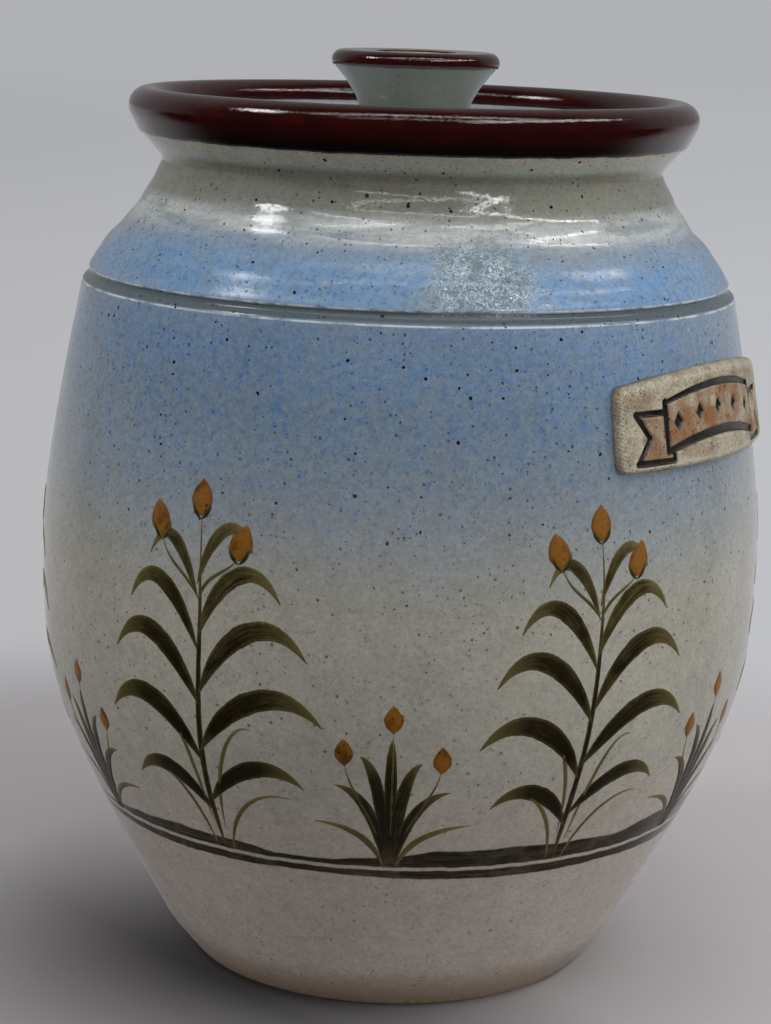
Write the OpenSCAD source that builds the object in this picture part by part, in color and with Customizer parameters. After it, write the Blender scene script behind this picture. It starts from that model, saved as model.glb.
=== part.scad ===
// Stoneware biscuit jar: a thrown jar with a dark rolled rim, a sunk lid with
// a flared knob, and a pressed clay plaque on its shoulder.
// The jar stands on its foot ring at z = 0, its axis is z and its front faces -y.
// All sizes are in millimetres and degrees.

/* [Foot] */
// Radius of the foot ring's outer edge
foot_r = 61; // [57:0.5:65]
// Width of the foot ring
foot_ring_w = 9; // [6:0.5:14]
// Depth of the recess inside the foot ring
foot_recess = 3; // [1.5:0.5:5]
// Radius at the top of the bevel above the foot
heel_r = 70.5; // [67:0.5:76]
// Height of that bevel
heel_h = 11.5; // [8:0.5:16]

/* [Wall] */
// Lean of the wall where it leaves the bevel, from upright
heel_lean = 29; // [22:1:34]
// Radius of the belly at its widest
belly_r = 110; // [104:1:122]
// Height of the widest part above the table
belly_h = 126; // [112:1:145]
// Height from the widest part to the shoulder groove
upper_h = 83; // [65:1:105]
// Radius of the wall just under the groove
groove_r = 98.7; // [94:0.1:103]
// Lean of the wall as it reaches the groove, from upright
groove_lean = 11; // [4:1:18]
// Thickness of the thrown wall
wall_t = 6.5; // [4.5:0.5:8.5]
// Thickness of the floor over the foot recess
floor_t = 8; // [6:0.5:12]
// Reach of the rounded corner between wall and floor inside
floor_round = 16; // [8:1:24]

/* [Shoulder] */
// Width of the incised groove that rings the shoulder
groove_w = 3.4; // [2:0.2:5]
// Depth of that groove
groove_d = 1.2; // [0.6:0.1:2]
// Step inwards from below the groove to above it
groove_step = 1.8; // [0.5:0.1:3]
// Height from the groove to the neck
shoulder_h = 32.8; // [28:0.2:42]
// Lean of the shoulder at both of its ends, from upright
shoulder_lean = 26.5; // [20:0.5:32]
// Radius of the neck
neck_r = 75; // [71:0.5:80]
// Thickness of the neck
neck_t = 7.5; // [6:0.5:9]

/* [Rim] */
// Height from the neck to the top of the rim
rim_h = 20.7; // [18:0.1:26]
// Flare of the rim's widest part beyond the neck
rim_flare = 10.5; // [9:0.5:14]
// Thickness of the rolled rim
rim_roll = 11; // [9:0.5:12.5]
// Slope of the rim's outer side, from upright
rim_slope = 27; // [15:1:35]
// Depth of the dark glaze on the outside, below the rim's top
rim_dip = 13.2; // [11.5:0.1:14.5]
// Depth of the dark glaze on the inside, below the rim's top
rim_dip_inside = 9; // [7.5:0.5:10]
// Depth of the lid's seat below the rim's top
seat_depth = 12; // [10.5:0.5:14]

/* [Lid] */
// Thickness of the lid's disc
lid_t = 6; // [4:0.5:7]
// Depth of the locating ring under the lid
lid_ring_h = 9; // [5:0.5:14]
// Thickness of the locating ring
lid_ring_t = 6; // [4:0.5:8]
// Radius that rounds the lid's upper edge
lid_edge = 1.5; // [0.5:0.25:1.75]
// Gap round the lid inside the rim
lid_gap = 0.8; // [0.4:0.1:1.5]
// Gap round the locating ring inside the mouth
ring_gap = 1.2; // [0.6:0.1:2]

/* [Knob] */
// Height of the knob above the lid
knob_h = 18.5; // [15:0.5:26]
// Radius of the knob's waist
waist_r = 16.4; // [12:0.2:20]
// Height of the waist above the lid
waist_h = 1.4; // [0.8:0.1:3]
// Radius of the knob at its widest
knob_r = 25.2; // [22:0.2:30]
// Lean of the flare under the knob's top, from upright
flare_lean = 34; // [20:1:45]
// Radius of the knob's rounded edge
knob_round = 3.6; // [2.5:0.1:4.5]
// Angle by which the dark glaze wraps under that edge
knob_wrap = 40; // [15:1:60]
// Radius of the pale spot in the knob's top
spot_r = 8; // [4:0.5:12]
// Depth of the dish in the knob's top
dish_d = 1; // [0.5:0.1:1.5]

/* [Plaque] */
// Turn of the plaque's middle from the jar's front, towards +x
plaque_turn = 57.5; // [0:0.5:180]
// Arc that the plaque covers
plaque_arc = 48; // [44:1:70]
// Height of the plaque at its two ends
plaque_h = 23.5; // [20:0.5:30]
// Rise of the plaque's upper edge in its middle
plaque_crown = 3.5; // [1:0.5:6]
// Distance from the groove down to the plaque's lower edge
plaque_drop = 41; // [38:0.5:60]
// Thickness of the plaque
plaque_t = 3; // [2:0.25:5]

/* [Ribbon pressed into the plaque] */
// Depth of the pressed lines
press_d = 0.8; // [0.4:0.1:1.2]
// Width of the pressed lines
press_w = 1.6; // [1:0.1:2]
// Length of the ribbon's middle field
field_w = 50; // [40:1:54]
// Height of the ribbon's middle field
field_h = 12; // [9:0.5:13]
// Rise of the ribbon's bow
field_bow = 3.5; // [1:0.5:4]
// Reach of the ribbon's tails past the field
tail_w = 12; // [8:0.5:14]
// Depth of the notch in each tail
tail_notch = 5; // [3:0.5:6]
// Distance of the tails below the field's ends
tail_drop = 2.5; // [1:0.5:3]
// Number of lozenges in the field
lozenges = 5; // [3:1:6]
// Height of a lozenge
lozenge_h = 6.4; // [4:0.2:7]
// Width of a lozenge
lozenge_w = 4.8; // [3:0.2:6]

/* [Glaze] */
// Thickness of the dark glaze on the rim and the knob
glaze_t = 0.5; // [0.3:0.1:0.8]

/* [Hidden] */
$fn = 96;

// Steps along each curve of the wall, and along a rounded edge
wall_steps = 18;
edge_steps = 8;

// Fullness of the wall's curves: how far each end's direction holds, as a share of the rise
heel_pull = 0.67;
belly_low_pull = 0.32;
belly_high_pull = 0.13;
groove_pull = 0.80;
shoulder_low_pull = 0.57;
shoulder_high_pull = 0.87;
waist_pull = 0.25;
flare_pull = 0.40;

// Heights above the table
groove_low_z = belly_h + upper_h;
groove_top_z = groove_low_z + groove_w;
neck_z = groove_top_z + shoulder_h;
rim_z = neck_z + rim_h;
seat_z = rim_z - seat_depth;
lid_top_z = seat_z + lid_t;
knob_top_z = lid_top_z + knob_h;
throat_z = seat_z - neck_t;
floor_z = foot_recess + floor_t;
plaque_low_z = groove_low_z - plaque_drop;
plaque_end_z = plaque_low_z + plaque_h;
plaque_top_z = plaque_end_z + plaque_crown;

// Radii of the foot's recess, the rim, the mouth and the lid
recess_r = foot_r - foot_ring_w - foot_recess / 2;
roll_r = rim_roll / 2;
roll_x = neck_r + rim_flare - roll_r;
roll_z = rim_z - roll_r;
mouth_r = neck_r - neck_t;
well_r = roll_x - roll_r;
lid_r = well_r - lid_gap;
ring_r = mouth_r - ring_gap;

// Point at share t along a curve that leaves a and reaches d, drawn towards b and c
function curve_point(a, b, c, d, t) =
    pow(1 - t, 3) * a + 3 * t * pow(1 - t, 2) * b + 3 * t * t * (1 - t) * c + pow(t, 3) * d;

function curve(a, b, c, d, steps) = [for (i = [0 : steps]) curve_point(a, b, c, d, i / steps)];

// Points on a circle about middle, from one angle to another
function arc(middle, r, from, to, steps) =
    [for (i = [0 : steps]) let (w = from + (to - from) * i / steps) middle + r * [cos(w), sin(w)]];

function reverse(points) = [for (i = [len(points) - 1 : -1 : 0]) points[i]];
function without_first(points) = [for (i = [1 : len(points) - 1]) points[i]];

// Direction that leans outwards by lean from upright, and its length
function leaning(lean, length) = length * [sin(lean), cos(lean)];

// Left-hand normal of a curve at point i
function normal_at(points, i) =
    let (ahead = points[min(i + 1, len(points) - 1)])
    let (behind = points[max(i - 1, 0)])
    let (way = ahead - behind)
    [-way[1], way[0]] / norm(way);

// Curve moved sideways into the clay by depth
function moved_in(points, depth) =
    [for (i = [0 : len(points) - 1]) points[i] + depth * normal_at(points, i)];

// Outside of the thrown wall, from the heel to the groove and from the groove to the neck
heel_point = [heel_r, heel_h];
belly_point = [belly_r, belly_h];
groove_low_point = [groove_r, groove_low_z];
groove_top_point = [groove_r - groove_step, groove_top_z];
neck_point = [neck_r, neck_z];
heel_rise = belly_h - heel_h;

lower_wall = curve(
    heel_point,
    heel_point + leaning(heel_lean, heel_pull * heel_rise),
    belly_point - [0, belly_low_pull * heel_rise],
    belly_point,
    wall_steps);
upper_wall = curve(
    belly_point,
    belly_point + [0, belly_high_pull * upper_h],
    groove_low_point - leaning(-groove_lean, groove_pull * upper_h),
    groove_low_point,
    wall_steps);
shoulder = curve(
    groove_top_point,
    groove_top_point + leaning(-shoulder_lean, shoulder_low_pull * shoulder_h),
    neck_point - leaning(-shoulder_lean, shoulder_high_pull * shoulder_h),
    neck_point,
    wall_steps);

// Hollow of the groove between its two edges: a curve is drawn in by 3/4 of its handles' length
groove_pull_in = [groove_d * 4 / 3, 0];
groove_hollow = curve(
    groove_low_point,
    groove_low_point - groove_pull_in,
    groove_top_point - groove_pull_in,
    groove_top_point,
    edge_steps);

outer_wall = concat(
    lower_wall,
    without_first(upper_wall),
    without_first(groove_hollow),
    without_first(shoulder));
wall_core = concat(lower_wall, without_first(upper_wall), shoulder);

// Inside of the wall down to where the floor's rounded corner starts
inner_all = moved_in(wall_core, wall_t);
corner_z = floor_z + floor_round;
inner_wall = [for (p = inner_all) if (p[1] > corner_z && p[1] < throat_z) p];
corner_way = (inner_wall[1] - inner_wall[0]) / norm(inner_wall[1] - inner_wall[0]);
corner_foot = inner_wall[0] - corner_way * (inner_wall[0][1] - floor_z) / corner_way[1];
floor_end = [corner_foot[0] - floor_round, floor_z];
floor_corner = curve(
    floor_end,
    (floor_end + 2 * corner_foot) / 3,
    (inner_wall[0] + 2 * corner_foot) / 3,
    inner_wall[0],
    edge_steps);

// Rim seen from outside to inside, as it is depth below the glazed surface:
// up the sloping side, over the roll and down into the well
function rim_line(depth) =
    let (r = roll_r - depth)
    let (middle = [roll_x, roll_z])
    let (side_top = middle + r * [cos(rim_slope), -sin(rim_slope)])
    let (side_z = rim_z - rim_dip)
    let (side_low = [side_top[0] - (side_top[1] - side_z) * tan(rim_slope), side_z])
    let (inside_low = [roll_x - r, rim_z - rim_dip_inside])
    concat([side_low], arc(middle, r, -rim_slope, 180, 3 * edge_steps), [inside_low]);

body_outline = concat(
    [[0, foot_recess], [recess_r, foot_recess], [foot_r - foot_ring_w, 0], [foot_r, 0]],
    outer_wall,
    rim_line(glaze_t),
    [[well_r + glaze_t, seat_z], [mouth_r, seat_z], [mouth_r, throat_z]],
    reverse(concat(floor_corner, without_first(inner_wall))),
    [[0, floor_z]]);

// Radius of the wall's outside at a height, read along its own outline
wall_table = [for (p = concat(lower_wall, without_first(upper_wall))) [p[1], p[0]]];
function wall_r(z) = lookup(z, wall_table);

// Heights between two limits at which the wall's outline bends, with the limits
nearly = 0.01;
function bends(low, high) = concat(
    [low],
    [for (row = wall_table) if (row[0] > low + nearly && row[0] < high - nearly) row[0]],
    [high]);

// Band on the wall between two heights and two distances out from it
module wall_band(low, high, near, far, turn) {
    levels = bends(low, high);
    inside = [for (z = levels) [wall_r(z) + near, z]];
    outside = [for (z = levels) [wall_r(z) + far, z]];
    rotate([0, 0, plaque_turn - 90 - turn / 2])
        rotate_extrude(angle = turn)
            polygon(concat(inside, reverse(outside)));
}

module jar_body() {
    color("#b9b6ab")
        rotate_extrude()
            polygon(body_outline);
}

module rim_glaze() {
    color("#3a1416")
        rotate_extrude()
            polygon(concat(rim_line(0), reverse(rim_line(glaze_t))));
}

// Drawing on the plaque, x along it and y up the jar, run through the wall from the jar's axis
module through_plaque() {
    rotate([0, 0, plaque_turn])
        rotate([90, 0, 0])
            linear_extrude(belly_r + 2 * plaque_t)
                children();
}

// Straight line pressed with a blunt tool from one point to another
module stroke(from, to) {
    way = to - from;
    translate(from)
        rotate(atan2(way[1], way[0]))
            translate([-press_w / 2, -press_w / 2])
                square([norm(way) + press_w, press_w]);
}

module strokes(points) {
    for (i = [1 : len(points) - 1])
        stroke(points[i - 1], points[i]);
}

// Height of the bowed field's middle line at a place along it
function bow_y(x) = field_bow * (0.5 - pow(2 * x / field_w, 2));

module ribbon() {
    half = field_w / 2;
    bow_steps = 6;
    places = [for (i = [0 : bow_steps]) -half + field_w * i / bow_steps];
    upper = [for (x = places) [x, bow_y(x) + field_h / 2]];
    lower = [for (x = places) [x, bow_y(x) - field_h / 2]];
    tail_low = bow_y(half) - field_h / 2 - tail_drop;
    tail_high = bow_y(half) + field_h / 2 - tail_drop;
    strokes(concat(upper, reverse(lower), [upper[0]]));
    for (side = [-1, 1])
        strokes([
            [side * half, tail_high],
            [side * (half + tail_w), tail_high],
            [side * (half + tail_w - tail_notch), (tail_low + tail_high) / 2],
            [side * (half + tail_w), tail_low],
            [side * (half - tail_drop), tail_low],
            [side * (half - tail_drop), bow_y(half - tail_drop) - field_h / 2]]);
    pitch = field_w / lozenges;
    for (i = [0 : lozenges - 1]) {
        x = (i + 0.5) * pitch - half;
        translate([x, bow_y(x)])
            polygon([[-lozenge_w / 2, 0], [0, -lozenge_h / 2], [lozenge_w / 2, 0], [0, lozenge_h / 2]]);
    }
}

module plaque() {
    half_chord = (wall_r(plaque_low_z) + plaque_t) * sin(plaque_arc / 2);
    crown_r = (pow(half_chord, 2) + pow(plaque_crown, 2)) / (2 * plaque_crown);
    color("#b59a6d")
        difference() {
            intersection() {
                wall_band(plaque_low_z, plaque_top_z, 0, plaque_t, plaque_arc);
                through_plaque()
                    translate([0, plaque_top_z - crown_r])
                        circle(r = crown_r, $fn = 360);
            }
            intersection() {
                wall_band(plaque_low_z, plaque_top_z, plaque_t - press_d, 2 * plaque_t, plaque_arc);
                through_plaque()
                    translate([0, (plaque_low_z + plaque_top_z) / 2])
                        ribbon();
            }
        }
}

module lid() {
    ring_in_r = ring_r - lid_ring_t;
    ring_low_z = seat_z - lid_ring_h;
    color("#b4bcb9")
        rotate_extrude()
            polygon(concat(
                [[0, seat_z], [ring_in_r, seat_z], [ring_in_r, ring_low_z], [ring_r, ring_low_z]],
                [[ring_r, seat_z], [lid_r, seat_z]],
                arc([lid_r - lid_edge, lid_top_z - lid_edge], lid_edge, 0, 90, edge_steps),
                [[0, lid_top_z]]));
}

// Knob's outline above its flare, as it is depth below the glazed surface:
// round the edge from below, and down the dish to the pale spot
function knob_line(depth) = concat(
    arc([knob_r - knob_round, knob_top_z - knob_round], knob_round - depth, -knob_wrap, 90, 2 * edge_steps),
    [[spot_r, knob_top_z - dish_d - depth]]);

module lid_knob() {
    line = knob_line(glaze_t);
    flare = curve(
        [waist_r, lid_top_z + waist_h],
        [waist_r, lid_top_z + waist_h + waist_pull * knob_h],
        line[0] - leaning(flare_lean, flare_pull * knob_h),
        line[0],
        edge_steps);
    color("#8f988f")
        rotate_extrude()
            polygon(concat(
                [[0, lid_top_z], [waist_r + waist_h, lid_top_z]],
                flare,
                without_first(line),
                [[0, knob_top_z - dish_d - glaze_t]]));
}

module knob_glaze() {
    color("#3a1416")
        rotate_extrude()
            polygon(concat(knob_line(0), reverse(knob_line(glaze_t))));
}

jar_body();
rim_glaze();
plaque();
lid();
lid_knob();
knob_glaze();
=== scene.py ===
"""Stoneware biscuit jar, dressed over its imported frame.

Every piece is turned, pressed or brushed here in metres, in the frame's own place: the jar stands on
z = 0, its axis is z and its front faces -y.
"""

import math

import bpy
from mathutils import Matrix, Vector, noise


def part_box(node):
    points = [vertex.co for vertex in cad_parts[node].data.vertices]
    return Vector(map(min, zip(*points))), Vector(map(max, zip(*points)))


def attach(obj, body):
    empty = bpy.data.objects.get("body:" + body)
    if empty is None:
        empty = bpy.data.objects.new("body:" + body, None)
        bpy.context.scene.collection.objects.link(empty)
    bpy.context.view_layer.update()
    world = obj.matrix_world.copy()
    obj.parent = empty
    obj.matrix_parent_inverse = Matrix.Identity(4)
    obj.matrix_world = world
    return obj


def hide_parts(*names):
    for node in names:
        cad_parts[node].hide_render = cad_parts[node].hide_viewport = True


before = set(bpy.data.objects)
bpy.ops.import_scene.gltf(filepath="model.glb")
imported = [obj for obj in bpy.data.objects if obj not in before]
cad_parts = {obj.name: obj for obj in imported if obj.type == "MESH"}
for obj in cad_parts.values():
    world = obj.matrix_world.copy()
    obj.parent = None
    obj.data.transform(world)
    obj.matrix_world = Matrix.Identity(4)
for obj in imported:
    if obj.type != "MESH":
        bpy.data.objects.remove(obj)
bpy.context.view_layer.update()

bl_info = {
    "name": "Stoneware biscuit jar",
    "version": (1, 0, 0),
    "blender": (4, 5, 0),
    "location": "3D View > Sidebar > Biscuit jar",
    "description": "Turns, presses and brushes a lidded stoneware biscuit jar",
    "category": "Object",
}

MM = 0.001
BELLY_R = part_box("jar_body")[1].y
RIM_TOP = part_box("rim_glaze")[1].z
SEAT_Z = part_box("lid")[1].z - 6 * MM
KNOB_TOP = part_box("knob_glaze")[1].z
KNOB_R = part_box("knob_glaze")[1].y
LIGHTS_AIM = Vector((0, 0, 170 * MM))


def tint(code):
    """Linear colour of a six-figure screen colour."""
    parts = [int(code[i:i + 2], 16) / 255 for i in (0, 2, 4)]
    return tuple(p / 12.92 if p <= 0.04045 else ((p + 0.055) / 1.055) ** 2.4 for p in parts)


def held(value):
    """Value kept between 0 and 1."""
    return max(0.0, min(1.0, value))


def length(name, about, default):
    return bpy.props.FloatProperty(
        name=name, description=about, default=default, unit="LENGTH", precision=4)


def angle(name, about, degrees):
    return bpy.props.FloatProperty(
        name=name, description=about, default=math.radians(degrees), subtype="ANGLE")


def colour(name, about, code):
    return bpy.props.FloatVectorProperty(
        name=name, description=about, default=tint(code), subtype="COLOR", min=0, max=1)


def count(name, about, default):
    return bpy.props.IntProperty(name=name, description=about, default=default, min=1)


# Sizes and colours


class JarSizes(bpy.types.PropertyGroup):
    belly_r: length("Belly radius", "Widest radius, under the brushwork", BELLY_R - 0.15 * MM)
    belly_z: length("Belly height", "Height of the widest part above the table", 126 * MM)
    foot_r: length("Foot radius", "Radius of the foot ring's outer edge", 61 * MM)
    heel_r: length("Heel radius", "Radius at the top of the bevel above the foot", 70.5 * MM)
    heel_z: length("Heel height", "Height of that bevel", 11.5 * MM)
    groove_r: length("Groove radius", "Radius of the wall just under the shoulder groove", 98.7 * MM)
    groove_z: length("Groove height", "Height of the shoulder groove's lower edge", 209 * MM)
    groove_w: length("Groove width", "Width of the shoulder groove", 3.4 * MM)
    groove_d: length("Groove depth", "Depth of the shoulder groove", 1.2 * MM)
    neck_r: length("Neck radius", "Radius of the neck", 75 * MM)
    neck_z: length("Neck height", "Height of the neck", 245.2 * MM)
    wall_t: length("Wall thickness", "Thickness of the thrown wall", 6.5 * MM)
    ring_space: length("Throwing ring spacing", "Rise of the throwing spiral in one turn", 7.6 * MM)
    ring_depth: length("Throwing ring depth", "Greatest depth of the throwing rings", 0.6 * MM)
    uneven: length("Unevenness", "How far the turned wall wanders from a true round", 0.35 * MM)


class RimAndLidSizes(bpy.types.PropertyGroup):
    rim_z: length("Rim top", "Height of the rim's top", RIM_TOP)
    roll_r: length("Roll radius", "Half the thickness of the rolled rim", 5.5 * MM)
    roll_x: length("Roll centre", "Distance of the roll's middle from the jar's axis", 80 * MM)
    rim_slope: angle("Rim slope", "Slope of the rim's outer side from upright", 27)
    dip: length("Dip outside", "Depth of the dark glaze outside, below the rim's top", 13.2 * MM)
    dip_inside: length("Dip inside", "Depth of the dark glaze inside, below the rim's top", 9 * MM)
    glaze_t: length("Dark glaze thickness", "Thickness of the dark glaze coat", 0.5 * MM)
    seat_z: length("Seat height", "Height of the ledge that the lid lies on", SEAT_Z)
    lid_r: length("Lid radius", "Radius of the lid's disc", 73.7 * MM)
    lid_t: length("Lid thickness", "Thickness of the lid's disc", 6 * MM)
    knob_z: length("Knob top", "Height of the knob's top", KNOB_TOP)
    knob_r: length("Knob radius", "Radius of the knob at its widest", KNOB_R)
    waist_r: length("Waist radius", "Radius of the knob's waist", 16.9 * MM)
    spot_r: length("Spot radius", "Radius of the pale spot in the knob's top", 12 * MM)
    dish: length("Dish", "How far the knob's top has sunk at the edge of the spot", 0.15 * MM)


class PlaqueSizes(bpy.types.PropertyGroup):
    turn: angle("Turn", "Turn of the plaque's middle from the jar's front", 57.5)
    arc: angle("Arc", "Arc that the plaque covers", 48)
    low_z: length("Lower edge", "Height of the plaque's lower edge", 168 * MM)
    end_h: length("End height", "Height of the plaque at its two ends", 23.5 * MM)
    crown: length("Crown", "Rise of the upper edge in its middle", 3.5 * MM)
    thick: length("Thickness", "Thickness of the plaque", 3 * MM)
    press_d: length("Pressed depth", "Depth of the pressed lines", 0.9 * MM)
    press_w: length("Pressed width", "Width of the pressed lines", 2.1 * MM)
    field_w: length("Field length", "Length of the ribbon's middle field", 54 * MM)
    field_h: length("Field height", "Height of the ribbon's middle field", 13.5 * MM)
    bow: length("Bow", "Rise of the ribbon's bow", 3.5 * MM)
    lozenges: count("Lozenges", "Number of lozenges in the field", 5)


class BrushSizes(bpy.types.PropertyGroup):
    sprays: count("Sprays", "Number of tall sprays round the jar", 6)
    tall: length("Spray height", "Height of a tall spray", 104 * MM)
    short: length("Tuft height", "Height of the tufts between the sprays", 44 * MM)
    base_z: length("Ground height", "Height at which the brushwork starts", 57 * MM)
    lift: length("Lift", "How far the brushed glaze stands proud of the wall", 0.09 * MM)
    seed: count("Seed", "Seed of the small differences between copies", 7)


class JarColours(bpy.types.PropertyGroup):
    pale: colour("Pale glaze", "Main pale glaze, warm and greyish", "9E9C91")
    neck: colour("Neck glaze", "Cooler pale glaze on the neck and upper shoulder", "989B93")
    blue: colour("Blue spray", "Strongest blue, just above the groove", "5A8BB9")
    haze: colour("Blue haze", "Softer blue under the groove", "527493")
    band: colour("Ground band", "Brushed dark band that the sprays stand on", "181005")
    toast: colour("Toasted foot", "Glaze toasted by the kiln near the foot", "84705B")
    clay: colour("Bare clay", "Unglazed clay under the foot", "A68F74")
    speck: colour("Specks", "Iron and cobalt specks in the glaze", "0A1132")
    leaf: colour("Leaf glaze", "Dark olive-brown of the brushed leaves", "1A1408")
    wash: colour("Thin leaf glaze", "The same glaze where the brush left it thin", "6B6238")
    amber: colour("Amber glaze", "Amber of the brushed buds", "7F531A")
    oxblood: colour("Dark red glaze", "Dark red of the rim and knob", "300A0B")
    black: colour("Thick dark glaze", "Almost black glaze where the dark red runs thick", "100C09")
    lid: colour("Lid glaze", "Pale blue-grey glaze of the lid", "D2DEE2")
    knob: colour("Knob glaze", "Grey-green glaze of the knob's side", "65675D")
    spot: colour("Knob spot", "Pale olive spot in the knob's top", "C9C08E")
    sand: colour("Plaque clay", "Sandy, thinly glazed clay of the plaque", "ACA48E")
    rust: colour("Toasted plaque", "Orange-brown toasted clay in the ribbon", "87592E")


GROUPS = {
    "jar_sizes": JarSizes,
    "rim_and_lid_sizes": RimAndLidSizes,
    "plaque_sizes": PlaqueSizes,
    "brush_sizes": BrushSizes,
    "jar_colours": JarColours,
}


# Outlines of the turned pieces


def bezier(a, b, c, d, steps):
    """Points along a curve that leaves a and reaches d, drawn towards b and c."""
    points = []
    for i in range(steps + 1):
        t = i / steps
        s = 1 - t
        points.append(s ** 3 * a + 3 * t * s * s * b + 3 * t * t * s * c + t ** 3 * d)
    return points


def leaning(lean, far):
    """Step of a length that leans outwards by an angle in degrees from upright."""
    return Vector((math.sin(math.radians(lean)), math.cos(math.radians(lean)))) * far


def arc(middle, radius, start, end, steps):
    """Points on a circle, between two angles in degrees."""
    points = []
    for i in range(steps + 1):
        a = math.radians(start + (end - start) * i / steps)
        points.append(middle + Vector((math.cos(a), math.sin(a))) * radius)
    return points


def eased(corner, before, after, radius, steps=5):
    """Small round in place of a corner."""
    u = (before - corner).normalized() * min(radius, (before - corner).length * 0.45)
    v = (after - corner).normalized() * min(radius, (after - corner).length * 0.45)
    return bezier(corner + u, corner + u * 0.4, corner + v * 0.4, corner + v, steps)


def eased_line(points, radii):
    """Line through points, each corner eased by its own radius."""
    line = [points[0]]
    for before, corner, after, radius in zip(points, points[1:], points[2:], radii):
        line += eased(corner, before, after, radius) if radius else [corner]
    return line + [points[-1]]


def split_long(points, step):
    """The same line with long stretches divided."""
    line = [points[0]]
    for a, b in zip(points, points[1:]):
        parts = max(1, math.ceil((b - a).length / step))
        line += [a.lerp(b, i / parts) for i in range(1, parts + 1)]
    return line


def ways_in(points):
    """Unit steps from a line's points sideways into the clay."""
    ways = []
    for before, after in zip(points[:1] + points, points[1:] + points[-1:]):
        way = after - before
        ways.append(Vector((-way.y, way.x)).normalized())
    return ways


def mark(mesh, name, values):
    """Writes a value on every point of a mesh."""
    mesh.attributes.new(name, "FLOAT", "POINT").data.foreach_set("value", values)


class Outline:
    """Half-section of a turned piece, from its axis or its lowest edge round to its end."""

    def __init__(self):
        self.points, self.ridge, self.wander, self.bare, self.inside = [], [], [], [], []

    def add(self, points, ridge=0.0, wander=(0, 0), bare=0.0, inside=0.0):
        for p in points:
            if self.points and (p - self.points[-1]).length < 1e-6:
                continue
            self.points.append(p)
            self.ridge.append(ridge(p) if callable(ridge) else ridge)
            self.wander.append(Vector((wander[0], 0, wander[1])))
            self.bare.append(bare(p) if callable(bare) else bare)
            self.inside.append(inside)

    def closed(self):
        """Returns to the first point, as the outline of a ring does."""
        for values in (self.points, self.ridge, self.wander, self.bare, self.inside):
            values.append(values[0])

    def mesh(self, name):
        """Points of the outline, each with the ways in which the wheel and the glaze may move it."""
        mesh = bpy.data.meshes.new(name)
        mesh.from_pydata([(p.x, 0, p.y) for p in self.points], [], [])
        ways = [Vector((way.x, 0, way.y)) * ridge for way, ridge in zip(ways_in(self.points), self.ridge)]
        for title, values in (("ridge", ways), ("wander", self.wander)):
            layer = mesh.attributes.new(title, "FLOAT_VECTOR", "POINT")
            for item, value in zip(layer.data, values):
                item.vector = value
        mark(mesh, "bare", self.bare)
        mark(mesh, "inside", self.inside)
        return mesh


def wall_curves(s):
    """The thrown wall's outside: heel to groove, and groove to neck."""
    heel, belly = Vector((s.heel_r, s.heel_z)), Vector((s.belly_r, s.belly_z))
    low = Vector((s.groove_r, s.groove_z))
    top = Vector((s.groove_r - 1.8 * MM, s.groove_z + s.groove_w))
    neck = Vector((s.neck_r, s.neck_z))
    rise, upper, rest = belly.y - heel.y, low.y - belly.y, neck.y - top.y
    lower = bezier(heel, heel + leaning(29, 0.67 * rise), belly - Vector((0, 0.32 * rise)), belly, 44)
    lower += bezier(belly, belly + Vector((0, 0.13 * upper)), low - leaning(-11, 0.8 * upper), low, 40)[1:]
    shoulder = bezier(top, top + leaning(-26.5, 0.57 * rest), neck - leaning(-26.5, 0.87 * rest), neck, 36)
    return lower, shoulder


def wall_radius(s, z):
    """Radius of the wall's outside at a height below the groove."""
    lower = wall_curves(s)[0]
    for a, b in zip(lower, lower[1:]):
        if a.y <= z <= b.y:
            return a.x + (b.x - a.x) * (z - a.y) / (b.y - a.y)
    raise RuntimeError("the height %.4f isn't on the wall" % z)


def rim_line(r, depth, steps):
    """Rim from outside to inside, as it is a depth below the glazed surface."""
    radius = r.roll_r - depth
    middle = Vector((r.roll_x, r.rim_z - r.roll_r))
    slope = math.degrees(r.rim_slope)
    top = middle + Vector((math.cos(r.rim_slope), -math.sin(r.rim_slope))) * radius
    side_z = r.rim_z - r.dip
    low = Vector((top.x - (top.y - side_z) * math.tan(r.rim_slope), side_z))
    inside = Vector((r.roll_x - radius, r.rim_z - r.dip_inside))
    return [low] + arc(middle, radius, -slope, 180, steps) + [inside]


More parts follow.
